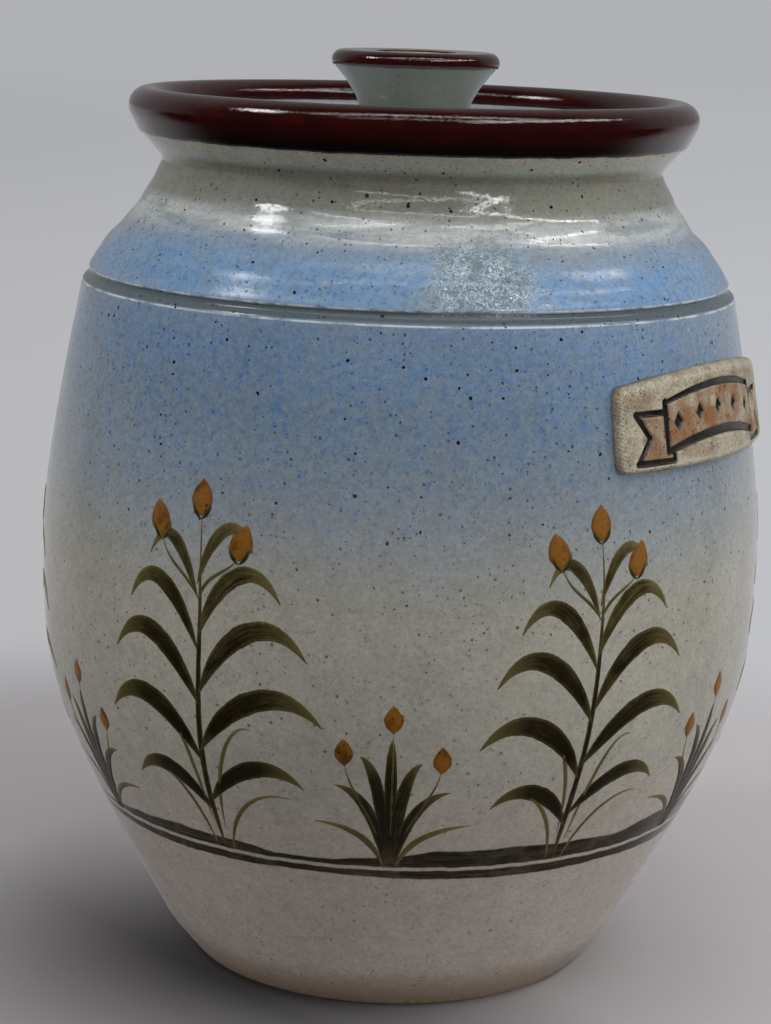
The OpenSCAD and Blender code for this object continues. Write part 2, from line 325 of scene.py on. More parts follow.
def wall_outline(s, r):
    """The whole jar: foot recess, foot ring, wall, rim, seat, inner wall and floor."""
    lower, shoulder = wall_curves(s)
    recess_z, floor_z, foot_w, corner_r = 3 * MM, 11 * MM, 9 * MM, 16 * MM
    throat_z, mouth_r = r.seat_z - 7.5 * MM, s.neck_r - 7.5 * MM
    well_r = r.roll_x - r.roll_r + r.glaze_t
    out = Outline()

    # Foot, bare underneath
    foot = [Vector((0, recess_z)), Vector((s.foot_r - foot_w - 1.5 * MM, recess_z)),
            Vector((s.foot_r - foot_w, 0)), Vector((s.foot_r, 0)), lower[0], lower[1]]
    foot = eased_line(foot, [1.5 * MM, 0.8 * MM, 1.4 * MM, 3 * MM])
    unglazed = lambda p: 1.0 if p.y < 1.8 * MM or p.x < s.foot_r - foot_w else 0.0
    out.add(split_long(foot[:-1], 3 * MM), bare=unglazed)

    # Wall: its throwing rings grow stronger near the groove and fade at its two ends
    strength = lambda p: 0.16 + 0.84 * held((p.y - 195 * MM) / (20 * MM))
    fade = lambda p: strength(p) * min(
        1.0, abs(p.y - s.groove_z) / (9 * MM), abs(p.y - s.heel_z) / (12 * MM))
    out.add(lower[1:-1], ridge=fade)

    # Groove, shoulder and rim
    back = Vector((-s.groove_d * 4 / 3, 0))
    hollow = bezier(lower[-1], lower[-1] + back, shoulder[0] + back, shoulder[0], 12)
    out.add(eased(lower[-1], lower[-4], hollow[5], 1.3 * MM, 8))
    out.add(hollow[5:-3])
    out.add(eased(shoulder[0], hollow[-4], shoulder[1], 0.5 * MM))
    near = lambda p: min(
        1.0, (p.y - s.groove_z - s.groove_w) / (5 * MM), (s.neck_z + 1 * MM - p.y) / (6 * MM))
    out.add(shoulder[1:-1], ridge=near)
    under = rim_line(r, r.glaze_t, 30)
    out.add(eased(shoulder[-1], shoulder[-2], under[0], 2.2 * MM, 7))
    out.add(under)

    # Seat, inner wall and floor
    outer = lower + shoulder
    inner = [p + way * s.wall_t for p, way in zip(outer, ways_in(outer))]
    inner = [p for p in inner if floor_z + corner_r < p.y < throat_z - 1 * MM]
    seat = [under[-1], Vector((well_r, r.seat_z)), Vector((mouth_r, r.seat_z)),
            Vector((mouth_r, throat_z)), inner[-1], inner[-2]]
    out.add(eased_line(seat, [0.8 * MM, 1.4 * MM, 1.2 * MM, 1 * MM]), inside=1.0)
    inner.reverse()
    out.add(inner[2:-1:2], ridge=1.6, inside=1.0)
    way = (inner[-2] - inner[-1]).normalized()
    foot_in = inner[-1] - way * ((inner[-1].y - floor_z) / way.y)
    floor_end = Vector((foot_in.x - corner_r, floor_z))
    corner = bezier(inner[-1], (inner[-1] + 2 * foot_in) / 3, (floor_end + 2 * foot_in) / 3, floor_end, 14)
    out.add(corner, ridge=0.8, inside=1.0)
    out.add(split_long([floor_end, Vector((0, floor_z))], 3 * MM), ridge=0.8, inside=1.0)
    return out


def coat_outline(r):
    """Dark glaze on the rim: a skin with a full, rounded lower edge that wanders a little."""
    outer = rim_line(r, 0, 44)
    inner = rim_line(r, r.glaze_t * 1.2, 22)
    slope = math.tan(r.rim_slope)
    out = Outline()
    edge = [outer[0] + Vector((-0.34, 0.0)) * r.glaze_t, outer[0] + Vector((0.02, 0.35)) * r.glaze_t]
    out.add([inner[0] + Vector((0, 0.5 * MM))])
    out.add([inner[0] + Vector((0.1 * MM, 0))], wander=(slope, 1))
    out.add(edge, wander=(slope, 1))
    out.add([outer[0].lerp(outer[1], t) for t in (0.12, 0.25, 0.4)], wander=(slope * 0.5, 0.5))
    out.add([outer[0].lerp(outer[1], t) for t in (0.6, 0.8)])
    out.add(outer[1:-1])
    out.add(eased(outer[-1], outer[-2], inner[-1], 0.4 * MM))
    out.add(list(reversed(inner[1:])))
    out.closed()
    return out


def lid_outline(r):
    """Lid disc with its locating ring, from under its middle round to its top."""
    top, ring_r, ring_low = r.seat_z + r.lid_t, 66.3 * MM, r.seat_z - 9 * MM
    ring_in = ring_r - 6 * MM
    points = [Vector(p) for p in (
        (0, r.seat_z), (ring_in, r.seat_z), (ring_in, ring_low), (ring_r, ring_low), (ring_r, r.seat_z),
        (r.lid_r, r.seat_z), (r.lid_r, top), (0, top))]
    line = eased_line(points, [1.5 * MM, 1.4 * MM, 1.4 * MM, 0.5 * MM, 0.6 * MM, 1.5 * MM])
    out = Outline()
    flat = lambda p: 0.35 if p.y > top - 0.1 * MM and p.x > r.waist_r + 4 * MM else 0.0
    foot = lambda p: 1.0 if p.y < r.seat_z + 0.3 * MM and p.x > ring_r - 8 * MM else 0.0
    out.add(split_long(line, 1.6 * MM), ridge=flat, bare=foot)
    return out


def knob_line(r, depth, steps):
    """Knob's edge from below, round to the dish and down to the pale spot."""
    round_r = 3.1 * MM
    middle = Vector((r.knob_r - round_r, r.knob_z - round_r))
    return arc(middle, round_r - depth, -26, 92, steps) + [Vector((r.spot_r, r.knob_z - r.dish - depth))]


def knob_outline(r):
    """Knob's clay: foot on the lid, waist, flare, edge and dished top."""
    lid_top, waist_h, rise = r.seat_z + r.lid_t, 1.4 * MM, r.knob_z - r.seat_z - r.lid_t
    line = knob_line(r, r.glaze_t, 18)
    waist = Vector((r.waist_r, lid_top + waist_h))
    flare = bezier(waist, waist + Vector((0, 0.18 * rise)), line[0] - leaning(37, 0.42 * rise), line[0], 22)
    out = Outline()
    out.add([Vector((x, lid_top - 0.2 * MM)) for x in (0, r.waist_r + waist_h)])
    out.add(bezier(Vector((r.waist_r + waist_h, lid_top)), Vector((r.waist_r + 0.3 * MM, lid_top + 0.2 * MM)),
                   waist - Vector((0, 0.8 * MM)), waist, 6))
    out.add(flare[1:], ridge=lambda p: 0.5 if p.y < line[0].y - 2 * MM else 0.0)
    out.add(line[1:])
    sunk_z = line[-1].y - 0.35 * MM
    out.add(split_long([line[-1], Vector((0.3 * r.spot_r, sunk_z)), Vector((0, sunk_z))], 1.5 * MM))
    return out


def knob_coat_outline(r):
    """Dark glaze on the knob, a ring with rounded edges."""
    outer = knob_line(r, 0, 30)
    inner = knob_line(r, r.glaze_t * 1.2, 16)
    out = Outline()
    out.add([inner[0] + Vector((-0.2 * MM, 0.4 * MM))])
    out.add([inner[0] + Vector((0.1 * MM, 0)), outer[0] + Vector((-0.12 * MM, 0.05 * MM)), outer[0]],
            wander=(0.3, 0.5))
    out.add(outer[1:-1])
    out.add([outer[-2].lerp(outer[-1], t) for t in (0.25, 0.5, 0.75, 0.95)])
    out.add([outer[-1] + Vector((-0.15 * MM, -0.12 * MM)), inner[-1] + Vector((-0.2 * MM, 0))],
            wander=(0.8, 0))
    out.add(list(reversed(inner[1:-1])))
    out.closed()
    return out


# Node helpers


def joined(tree, kind, inputs=(), **settings):
    """Adds a node, sets it up and fills its inputs, by name or place, from flows or plain values."""
    node = tree.nodes.new(kind)
    for name, value in settings.items():
        setattr(node, name, value)
    for key, value in dict(inputs).items():
        if isinstance(value, Flow):
            value.into(node.inputs[key])
        else:
            node.inputs[key].default_value = value
    return node


def flow(tree, kind, inputs=(), out=0, **settings):
    """What a new node puts out."""
    return Flow(tree, joined(tree, kind, inputs, **settings).outputs[out])


def reckon(tree, operation, *terms):
    return flow(tree, "ShaderNodeMath", dict(enumerate(terms)), operation=operation)


def vector_of(tree, x, y, z):
    return flow(tree, "ShaderNodeCombineXYZ", {0: x, 1: y, 2: z})


def mixed(tree, share, a, b, blend="MIX"):
    """Colour a passing into colour b, each a flow or plain values."""
    a, b = (c if isinstance(c, Flow) else (*c, 1) for c in (a, b))
    return flow(tree, "ShaderNodeMix", {0: share, 6: a, 7: b}, 2, data_type="RGBA", blend_type=blend)


class Flow:
    """Number, vector, colour or geometry on its way through a node tree. Arithmetic on it adds nodes."""

    def __init__(self, tree, socket):
        self.tree, self.socket = tree, socket

    def into(self, socket):
        self.tree.links.new(self.socket, socket)

    def reckoned(self, operation, *others):
        return reckon(self.tree, operation, self, *others)

    def __add__(self, other):
        return self.reckoned("ADD", other)

    def __sub__(self, other):
        return self.reckoned("SUBTRACT", other)

    def __rsub__(self, other):
        return reckon(self.tree, "SUBTRACT", other, self)

    def __mul__(self, other):
        return self.reckoned("MULTIPLY", other)

    def __truediv__(self, other):
        return self.reckoned("DIVIDE", other)

    def __abs__(self):
        return self.reckoned("ABSOLUTE")

    def most(self, other):
        return self.reckoned("MAXIMUM", other)

    def xyz(self):
        parts = joined(self.tree, "ShaderNodeSeparateXYZ", {0: self}).outputs
        return [Flow(self.tree, part) for part in parts]

    def stretched(self, *factors):
        return flow(self.tree, "ShaderNodeVectorMath", {0: self, 1: factors}, operation="MULTIPLY")

    def noise(self, scale, detail=2.0, rough=0.5, distortion=0.0):
        return flow(self.tree, "ShaderNodeTexNoise", {
            "Vector": self, "Scale": scale, "Detail": detail, "Roughness": rough, "Distortion": distortion})

    def between(self, low, high, to_low=0.0, to_high=1.0, smooth=False):
        """Value spread from one span to another, held at the ends."""
        return flow(self.tree, "ShaderNodeMapRange", {0: self, 1: low, 2: high, 3: to_low, 4: to_high},
                    interpolation_type="SMOOTHSTEP" if smooth else "LINEAR")

    def stops(self, low, high, marks):
        """Share that follows marks of place and share along a span."""
        node = joined(self.tree, "ShaderNodeValToRGB", {0: self.between(low, high)})
        ramp = node.color_ramp.elements
        places = [(place - low) / (high - low) for place, _ in marks]
        for place in places[1:-1]:
            ramp.new(place)
        ramp[0].position, ramp[-1].position = places[0], places[-1]
        for element, (_, share) in zip(ramp, marks):
            element.color = (share, share, share, 1)
        return Flow(self.tree, node.outputs[0])

    def blend(self, a, b):
        """Colour a passing into colour b where this share is high."""
        return mixed(self.tree, self, a, b)

    def toned(self, tone):
        """This colour times a lightness."""
        return mixed(self.tree, 1.0, self, vector_of(self.tree, tone, tone, tone), "MULTIPLY")

    def specks(self, scale, size, share, soft=0.3):
        """Round specks of mixed size: only a share of the cells holds one."""
        cells = joined(self.tree, "ShaderNodeTexVoronoi", {"Vector": self, "Scale": scale, "Randomness": 1.0})
        chance = Flow(self.tree, cells.outputs["Color"]).xyz()[0]
        chosen = chance.reckoned("GREATER_THAN", 1.0 - share)
        reach = chosen * chance.between(1.0 - share, 1.0, 0.4 * size, size)
        return (reach - Flow(self.tree, cells.outputs["Distance"])).between(0.0, size * soft)


def new_group(name, result, inputs):
    """Geometry node group, with its inputs as flows. Each input has a kind and a default."""
    tree = bpy.data.node_groups.new(name, "GeometryNodeTree")
    for title, (kind, default) in inputs.items():
        item = tree.interface.new_socket(name=title, in_out="INPUT", socket_type="NodeSocket" + kind)
        if default is not None:
            item.default_value = default
    tree.interface.new_socket(name=result, in_out="OUTPUT", socket_type="NodeSocketGeometry")
    given = tree.nodes.new("NodeGroupInput").outputs
    return tree, {title: Flow(tree, given[title]) for title in inputs}


def hand_out(tree, geometry, finish):
    """Ends a group: its geometry shaded smooth, made real and given its finish."""
    for kind, inputs in (("GeometryNodeSetShadeSmooth", {"Shade Smooth": True}),
                         ("GeometryNodeRealizeInstances", {}),
                         ("GeometryNodeSetMaterial", {"Material": finish})):
        geometry = flow(tree, kind, {0: geometry, **inputs})
    joined(tree, "NodeGroupOutput", {0: geometry})


def set_inputs(modifier, values):
    """Sets a node modifier's inputs, by the identifiers of their sockets."""
    for item in modifier.node_group.interface.items_tree:
        if item.item_type == "SOCKET" and item.in_out == "INPUT" and item.name in values:
            modifier[item.identifier] = values[item.name]


def made_plain(obj, name):
    """Turns an object with its modifiers into one plain mesh."""
    graph = bpy.context.evaluated_depsgraph_get()
    mesh = bpy.data.meshes.new_from_object(
        obj.evaluated_get(graph), preserve_all_data_layers=True, depsgraph=graph)
    obj.modifiers.clear()
    old = obj.data
    obj.data = faced_out(mesh)
    bpy.data.meshes.remove(old)
    mesh.name = name
    return obj


def faced_out(mesh):
    """Turns a closed mesh's faces outwards."""
    mesh.calc_loop_triangles()
    spots = [v.co for v in mesh.vertices]
    corners = [[spots[k] for k in triangle.vertices] for triangle in mesh.loop_triangles]
    if sum(a.dot(b.cross(c)) for a, b, c in corners) < 0:
        mesh.flip_normals()
    return mesh


def on_stage(name, data):
    """New object of a mesh, light or camera, put in the scene."""
    obj = bpy.data.objects.new(name, data)
    bpy.context.scene.collection.objects.link(obj)
    return obj


# The wheel: one node tree turns every outline


def wheel_tree():
    """Turns an outline about the z axis, with a throwing spiral, a little wobble and a wandering edge."""
    title = "Turned on the wheel"
    if title in bpy.data.node_groups:
        return bpy.data.node_groups[title]
    tree, given = new_group(title, "Turned Piece", {
        "Outline": ("Geometry", None), "Segments": ("Int", 256), "Throwing Ring Spacing": ("Float", 6 * MM),
        "Throwing Ring Depth": ("Float", 0.0), "Unevenness": ("Float", 0.0), "Edge Wander": ("Float", 0.0),
        "Seed": ("Float", 0.0), "Finish": ("Material", None)})
    outline, segments, seed = given["Outline"], given["Segments"], given["Seed"]
    position = flow(tree, "GeometryNodeInputPosition")

    points = flow(tree, "GeometryNodeAttributeDomainSize", {0: outline}, "Point Count", component="MESH")
    last = points - 1.0
    kept = flow(tree, "GeometryNodeMeshGrid", {
        "Size X": segments, "Size Y": last, "Vertices X": segments + 1.0, "Vertices Y": points})
    x, y, _ = position.xyz()
    column, row = (x + segments * 0.5).reckoned("ROUND"), (y + last * 0.5).reckoned("ROUND")
    turn = column / segments
    cos, sin = ((turn * math.tau).reckoned(operation) for operation in ("COSINE", "SINE"))

    def from_outline(kind, name=None):
        value = position
        if name:
            value = flow(tree, "GeometryNodeInputNamedAttribute", {"Name": name}, "Attribute", data_type=kind)
        return flow(tree, "GeometryNodeSampleIndex", {"Geometry": outline, "Value": value, "Index": row},
                    data_type=kind, domain="POINT")

    spot, ridge, wander = (from_outline("FLOAT_VECTOR", name).xyz() for name in (None, "ridge", "wander"))
    for name in ("bare", "inside"):
        kept = flow(tree, "GeometryNodeStoreNamedAttribute", {
            "Geometry": kept, "Name": name, "Value": from_outline("FLOAT", name)},
            data_type="FLOAT", domain="POINT")

    reach = vector_of(tree, cos * spot[0], sin * spot[0], spot[2] + seed * 0.37)
    tremor, slow = reach.noise(28.0, 1.0), reach.noise(11.0, 1.0)
    spiral = spot[2] / given["Throwing Ring Spacing"] + turn + tremor * 0.7
    wave = (spiral * math.tau).reckoned("SINE") * 0.5 + 0.5
    sink = wave * given["Throwing Ring Depth"] * tremor + slow * given["Unevenness"]
    drift = vector_of(tree, cos, sin, seed).noise(5.0, 3.0, 0.6).between(0.25, 0.75, -1.0, 1.0)
    drift = drift * given["Edge Wander"]
    radius, height = (ridge[i] * sink + spot[i] + wander[i] * drift for i in (0, 2))
    place = vector_of(tree, cos * radius, sin * radius, height)
    turned = flow(tree, "GeometryNodeSetPosition", {"Geometry": kept, "Position": place})
    whole = flow(tree, "GeometryNodeMergeByDistance", {"Geometry": turned, "Distance": 2e-6})
    hand_out(tree, whole, given["Finish"])
    return tree


def turned_piece(name, outline, finish, segments, seed, rings=0.0, spacing=6 * MM, uneven=0.0, edge=0.0):
    """Throws one piece from its outline and leaves it as a plain mesh."""
    piece = on_stage(name, outline.mesh(name + "_outline"))
    wheel = piece.modifiers.new("wheel", "NODES")
    wheel.node_group = wheel_tree()
    set_inputs(wheel, {
        "Segments": segments, "Throwing Ring Spacing": spacing, "Throwing Ring Depth": rings,
        "Unevenness": uneven, "Edge Wander": edge, "Seed": float(seed), "Finish": finish})
    return made_plain(piece, name)


# Finishes


def bare_tree(owner):
    """Empty node tree of a new material or world."""
    owner.use_nodes = True
    owner.node_tree.nodes.clear()
    return owner.node_tree


def on_object(tree):
    return flow(tree, "ShaderNodeTexCoord", out="Object")


def new_finish(name, rough, coat=0.0, coat_rough=0.05, ior=1.5):
    """Ceramic surface: its material, its shader's inputs and its object coordinates."""
    finish = bpy.data.materials.new(name)
    tree = bare_tree(finish)
    shader = joined(tree, "ShaderNodeBsdfPrincipled", {
        "Roughness": rough, "IOR": ior, "Coat Weight": coat, "Coat Roughness": coat_rough})
    joined(tree, "ShaderNodeOutputMaterial", {0: Flow(tree, shader.outputs[0])})
    return finish, shader.inputs, on_object(tree)


def marked_by(tree, name):
    return flow(tree, "ShaderNodeAttribute", out="Fac", attribute_name=name, attribute_type="GEOMETRY")


def raised(sockets, height, strength, distance=0.3 * MM):
    """Fine relief of the glaze's surface."""
    bump = flow(height.tree, "ShaderNodeBump", {"Height": height, "Strength": strength, "Distance": distance})
    bump.into(sockets["Normal"])


def wall_finish(c):
    """Speckled pale glaze, sprayed blue over the shoulder, with two brushed ground bands.

    Heights are in millimetres above the table.
    """
    finish, sockets, spot = new_finish("speckled_stoneware_glaze", 0.3, ior=1.41)
    tree = finish.node_tree
    x, z = (spot.xyz()[axis] / MM for axis in (0, 2))
    outside = 1.0 - marked_by(tree, "inside")
    cloud, mottle = spot.noise(22.0, 3.0, 0.55), spot.noise(150.0, 3.0, 0.6)
    flecks, mist = spot.noise(430.0, 3.0, 0.65), spot.noise(520.0, 2.0, 0.6)
    grain = spot.noise(900.0, 2.0, 0.7)

    # Blue spray over the pale body
    spray = ((cloud - 0.5) * 16.0 + z).stops(120, 250, [
        (131, 0.0), (148, 0.38), (164, 0.74), (183, 0.97), (199, 0.92), (209, 0.72), (214.5, 1.0),
        (221, 0.96), (228.5, 0.42), (236, 0.05), (243, 0.0)])
    spray = spray * mottle.between(0.3, 0.7, 0.80, 1.0) * mist.between(0.3, 0.7, 0.70, 1.0) * outside
    # Less blue where the wall turns away to left and right: a painted sheen of the glaze seen at a slant
    spray = spray * abs(x).between(70, 100, 1.0, 0.72)
    haze = z.between(185, 205).blend(c.haze, tint("4478A8"))
    blue = z.between(210.5, 212.5).blend(haze, c.blue)
    blue = mist.between(0.52, 0.7, 0.0, 0.4).blend(blue, tint("3562A2"))
    body = z.between(215, 240).blend(c.pale, c.neck)
    body = z.between(90, 50).blend(body, tint("A79E94"))
    # Darker band on the neck under the rim: partly glaze run thin, partly painted shade under the rim's
    # overhang
    thin = z.stops(232, 256, [(234, 0.0), (237.5, 0.62), (246.5, 0.8), (248.5, 0.0)])
    body = (thin * outside).blend(body, tint("6D6B5D"))
    body = (z.between(248.5, 251.5, 0.0, 0.6) * outside).blend(body, tint("A89E88"))
    body = spray.blend(body, blue)
    # Whitish band at the top of the spray: partly paler glaze, partly a painted sheen of the light from
    # above, in streaks along the turn
    pale_edge_and_sheen = z.stops(220, 240, [(226.5, 0.0), (230.5, 0.8), (233.5, 0.8), (237, 0.0)])
    pale_edge_and_sheen = pale_edge_and_sheen * spot.stretched(1.0, 1.0, 7.0).noise(34.0, 3.0, 0.6).between(0.40, 0.62)
    body = (pale_edge_and_sheen * outside).blend(body, tint("C2C6C4"))

    # Unevenness of tone, and the foot toasted by the kiln
    tone = cloud.between(0.3, 0.7, -0.06, 0.06) + mottle.between(0.3, 0.7, -0.07, 0.07)
    tone = tone + flecks.between(0.3, 0.7, -0.07, 0.07) + grain.between(0.3, 0.7, -0.12, 0.12)
    body = body.toned(tone + 1.0)
    toast = (mottle * 4.0 + z).between(4, 20, 0.85, 0.0, smooth=True)
    body = (toast * outside).blend(body, c.toast)

    # Groove: its hollow painted darker as shade in the recess; both lips pale where the glaze runs thin, made
    # brighter as a painted highlight
    hollow = z.stops(206, 216, [(208.7, 0.0), (209.1, 0.85), (211.2, 0.85), (211.7, 0.98), (212, 0.0)])
    body = (hollow * outside).blend(body, tint("4C5654"))
    lips = z.stops(206, 216, [
        (208.1, 0.0), (208.35, 0.8), (208.55, 0.8), (208.8, 0.0),
        (211.8, 0.0), (212.1, 0.9), (212.5, 0.9), (212.7, 0.0)])
    body = (lips * mottle.between(0.35, 0.55) * outside).blend(body, tint("D6DBDB"))

    # Ground bands: a line and the wavy ground above it
    round_way = spot.stretched(1.0, 1.0, 0.25)
    sway = round_way.noise(14.0, 2.0).between(0.35, 0.65)
    band_z = (round_way.noise(160.0, 2.0) - 0.5) * 0.9 + z
    lower = (band_z - (sway * -1.4 + 50.7)).between(0.0, 0.4) * band_z.between(52.8, 53.2, 1.0, 0.0)
    upper = band_z.between(54.0, 54.4) * (sway * 5.5 + 56.0 - band_z).between(-0.1, 0.4)
    bands = lower.most(upper) * outside * mottle.between(0.25, 0.5, 0.86, 1.0)
    dragged = spot.stretched(1.0, 1.0, 26.0).noise(42.0, 3.0, 0.6).between(0.42, 0.72)
    body = bands.blend(body, dragged.blend(c.band, tint("40361A")))

    # Specks, fewer on the lower body, dark blue in the spray and brown elsewhere
    jagged = joined(tree, "ShaderNodeTexNoise", {"Vector": spot, "Scale": 900.0, "Detail": 2.0})
    ragged = flow(tree, "ShaderNodeVectorMath", {
        0: Flow(tree, jagged.outputs["Color"]), 1: (0.7 * MM,) * 3, 2: spot}, operation="MULTIPLY_ADD")
    dark = (spot.specks(1150.0, 0.40, 0.32) * 0.42).most(ragged.specks(640.0, 0.34, 0.26) * 0.72)
    dark = dark.most(ragged.specks(330.0, 0.20, 0.26, 0.12))
    dark = dark.most(ragged.specks(170.0, 0.115, 0.26, 0.1) * z.between(140, 200, 0.3, 1.0))
    dark = dark * z.between(70, 180, 0.45, 1.0)
    cobalt = ragged.specks(260.0, 0.25, 0.4, 0.6).most(ragged.specks(520.0, 0.36, 0.5, 0.6)) * spray * 0.75
    body = cobalt.blend(body, tint("27509F"))
    speck = z.between(130, 190).blend(tint("241F19"), c.speck)
    body = dark.blend(body, z.between(232, 238).blend(speck, tint("1D1A18")))

    # Patch of fine pale crackle on the shoulder where the lamps' reflection breaks up: its greyer tone is a
    # painted reflection and its pale lines a painted highlight, over the crackle's relief
    glint_patch = flow(tree, "ShaderNodeVectorMath", {0: spot, 1: (21 * MM, -91.5 * MM, 217.5 * MM)},
                  "Value", operation="DISTANCE")
    glint_patch = ((mottle - 0.5) * 20.0 + glint_patch / MM).between(12, 21, 1.0, 0.0) * z.between(210.5, 212.5)
    crackle_glints = abs(spot.noise(520.0, 3.0, 0.65, 1.0) - 0.5).between(0.0, 0.05, 1.0, 0.0) * glint_patch
    body = (glint_patch * 0.6).blend(body, tint("6F7E7F"))
    body = (crackle_glints * mottle.between(0.35, 0.6, 0.3, 1.0)).blend(body, tint("DCE4EA"))

    bare = marked_by(tree, "bare")
    clay = grain.between(0.3, 0.7).blend(c.clay, tint("6F5A45"))
    body = (mottle * 0.3 + bare).between(0.55, 0.75).blend(body, clay)
    body.into(sockets["Base Color"])
    rough = spray * (1.0 - glint_patch) * 0.20 + mottle.between(0.3, 0.7, 0.06, 0.12) + bare * 0.5
    rough.between(0.0, 1.0).into(sockets["Roughness"])
    height = dark * -0.4 + mottle * 0.9 + grain * 0.10 + mist * spray * 0.5 + crackle_glints * 1.2
    raised(sockets, height, 0.42)
    return finish


def dark_finish(c, name, thick_low, thick_high):
    """Dark red glaze, running almost black where it is thick, low on its edge."""
    finish, sockets, spot = new_finish(name, 0.09, ior=1.58)
    cloud = spot.noise(60.0, 3.0, 0.6)
    streak = spot.stretched(1.0, 1.0, 3.0).noise(120.0, 3.0, 0.6)
    body = cloud.between(0.45, 0.75, 0.0, 0.6).blend(c.oxblood, tint("451607"))
    body = streak.between(0.36, 0.62, 0.15, 0.6).blend(body, tint("180A09"))
    thick = (streak * (2.2 * MM) + spot.xyz()[2]).between(thick_low, thick_high, 1.0, 0.0, smooth=True)
    thick.blend(body, c.black).into(sockets["Base Color"])
    cloud.between(0.3, 0.7, 0.02, 0.05).into(sockets["Roughness"])
    raised(sockets, spot.noise(1400.0, 2.0, 0.7) * 0.75 + streak * 0.7, 0.30)
    return finish


def plain_glaze(name, main, other, rough, bare_colour=None, top_z=None, top_colour=None):
    """Satin glaze of one colour that clouds into another, with fine specks.

    It can leave bare clay where the outline says so, and take another colour above a height.
    """
    finish, sockets, spot = new_finish(name, rough, coat=0.25, coat_rough=0.15)
    cloud, grain = spot.noise(70.0, 3.0, 0.6), spot.noise(1000.0, 2.0, 0.7)
    body = cloud.between(0.35, 0.65).blend(main, other).toned(grain.between(0.3, 0.7, 0.9, 1.1))
    body = (spot.specks(420.0, 0.28, 0.22) * 0.7).blend(body, tint("3C3A33"))
    if bare_colour:
        body = marked_by(finish.node_tree, "bare").blend(body, bare_colour)
    if top_colour:
        body = spot.xyz()[2].between(top_z, top_z + 0.3 * MM).blend(body, top_colour)
    body.into(sockets["Base Color"])
    raised(sockets, grain * 0.3 + cloud, 0.2)
    return finish


def plaque_finish(c):
    """Sandy clay, toasted orange in the ribbon, dark glaze pooled in the pressed lines."""
    finish, sockets, spot = new_finish("toasted_plaque_clay", 0.5, coat=0.15, coat_rough=0.25)
    pressed, field, edge = (marked_by(finish.node_tree, name) for name in ("pressed", "field", "edge"))
    cloud, grain = spot.noise(130.0, 3.0, 0.6), spot.noise(1300.0, 3.0, 0.75)
    sand = cloud.between(0.35, 0.65).blend(c.sand, tint("857C68"))
    toasted = field.most(cloud.between(0.5, 0.7, 0.1, 0.55)) * (grain * 0.9 + cloud).between(0.78, 1.1)
    # Paler on the slab's rounded edges: a painted highlight
    body = (edge * 0.75).blend(toasted.blend(sand, c.rust), tint("B5B09A"))
    body = body.toned(grain.between(0.3, 0.7, 0.55, 1.4))
    iron = spot.specks(1500.0, 0.45, 0.5).most(spot.specks(800.0, 0.34, 0.45))
    iron = iron.most(spot.specks(360.0, 0.2, 0.3))
    body = (iron * (field * 0.25 + cloud).between(0.38, 0.7, 0.5, 1.0)).blend(body, tint("35210F"))
    pool = cloud.between(0.4, 0.65).blend(tint("14110C"), tint("2E2B25"))
    (cloud * 0.35 + pressed).between(0.42, 0.8).blend(body, pool).into(sockets["Base Color"])
    pressed.between(0.2, 0.8, 0.5, 0.22).into(sockets["Roughness"])
    raised(sockets, iron * -0.4 + grain, 0.45)
    return finish


def brush_finish(c):
    """Brushed glaze: near black where it was laid thick, olive at its thin edges, amber in the buds."""
    finish, sockets, spot = new_finish("brushed_leaf_glaze", 0.3, ior=1.36)
    tree = finish.node_tree
    across, along, amber, load = (marked_by(tree, name) for name in ("across", "along", "amber", "load"))
    mottle, grain = spot.noise(190.0, 3.0, 0.6), spot.noise(900.0, 3.0, 0.7)
    hairs = vector_of(tree, along * 1.6, across * 3.4, load * 40.0).noise(2.2, 2.0, 0.6)
    rim = (grain * 0.45 + abs(across)).between(0.72, 1.2)
    dry = (hairs + mottle * 0.5 + load).between(0.95, 1.45)
    ends = along.stops(0.0, 1.0, [(0.0, 0.35), (0.16, 0.0), (0.62, 0.05), (1.0, 0.75)])
    leaf = (rim * 0.5 + dry * 0.7 + ends).between(0.0, 1.0).blend(c.leaf, c.wash)
    bud = (rim.most(mottle.between(0.5, 0.68)) * 0.8).blend(c.amber, tint("452509"))
    bud = (spot.specks(620.0, 0.36, 0.5) * 0.8).blend(bud, tint("2C170C"))
    body = amber.blend(leaf, bud).toned(grain.between(0.3, 0.7, 0.84, 1.16))
    body.into(sockets["Base Color"])
    raised(sockets, grain, 0.2, 0.2 * MM)
    return finish


# The pressed plaque


TAIL_DROP = 2.5 * MM  # of the ribbon's tails below its field


def bowed(q, x):
    """Height of the ribbon's middle line at a place along it."""
    return q.bow * (0.5 - (2 * x / q.field_w) ** 2)


def near_stroke(p, stroke):
    """How deep in a tapering stroke a point lies: 1 on its middle line, 0 at its edge, less outside."""
    a, b, start, end = stroke
    way = b - a
    t = held((p - a).dot(way) / way.length_squared)
    return 1 - (p - a - way * t).length / (start + (end - start) * t)


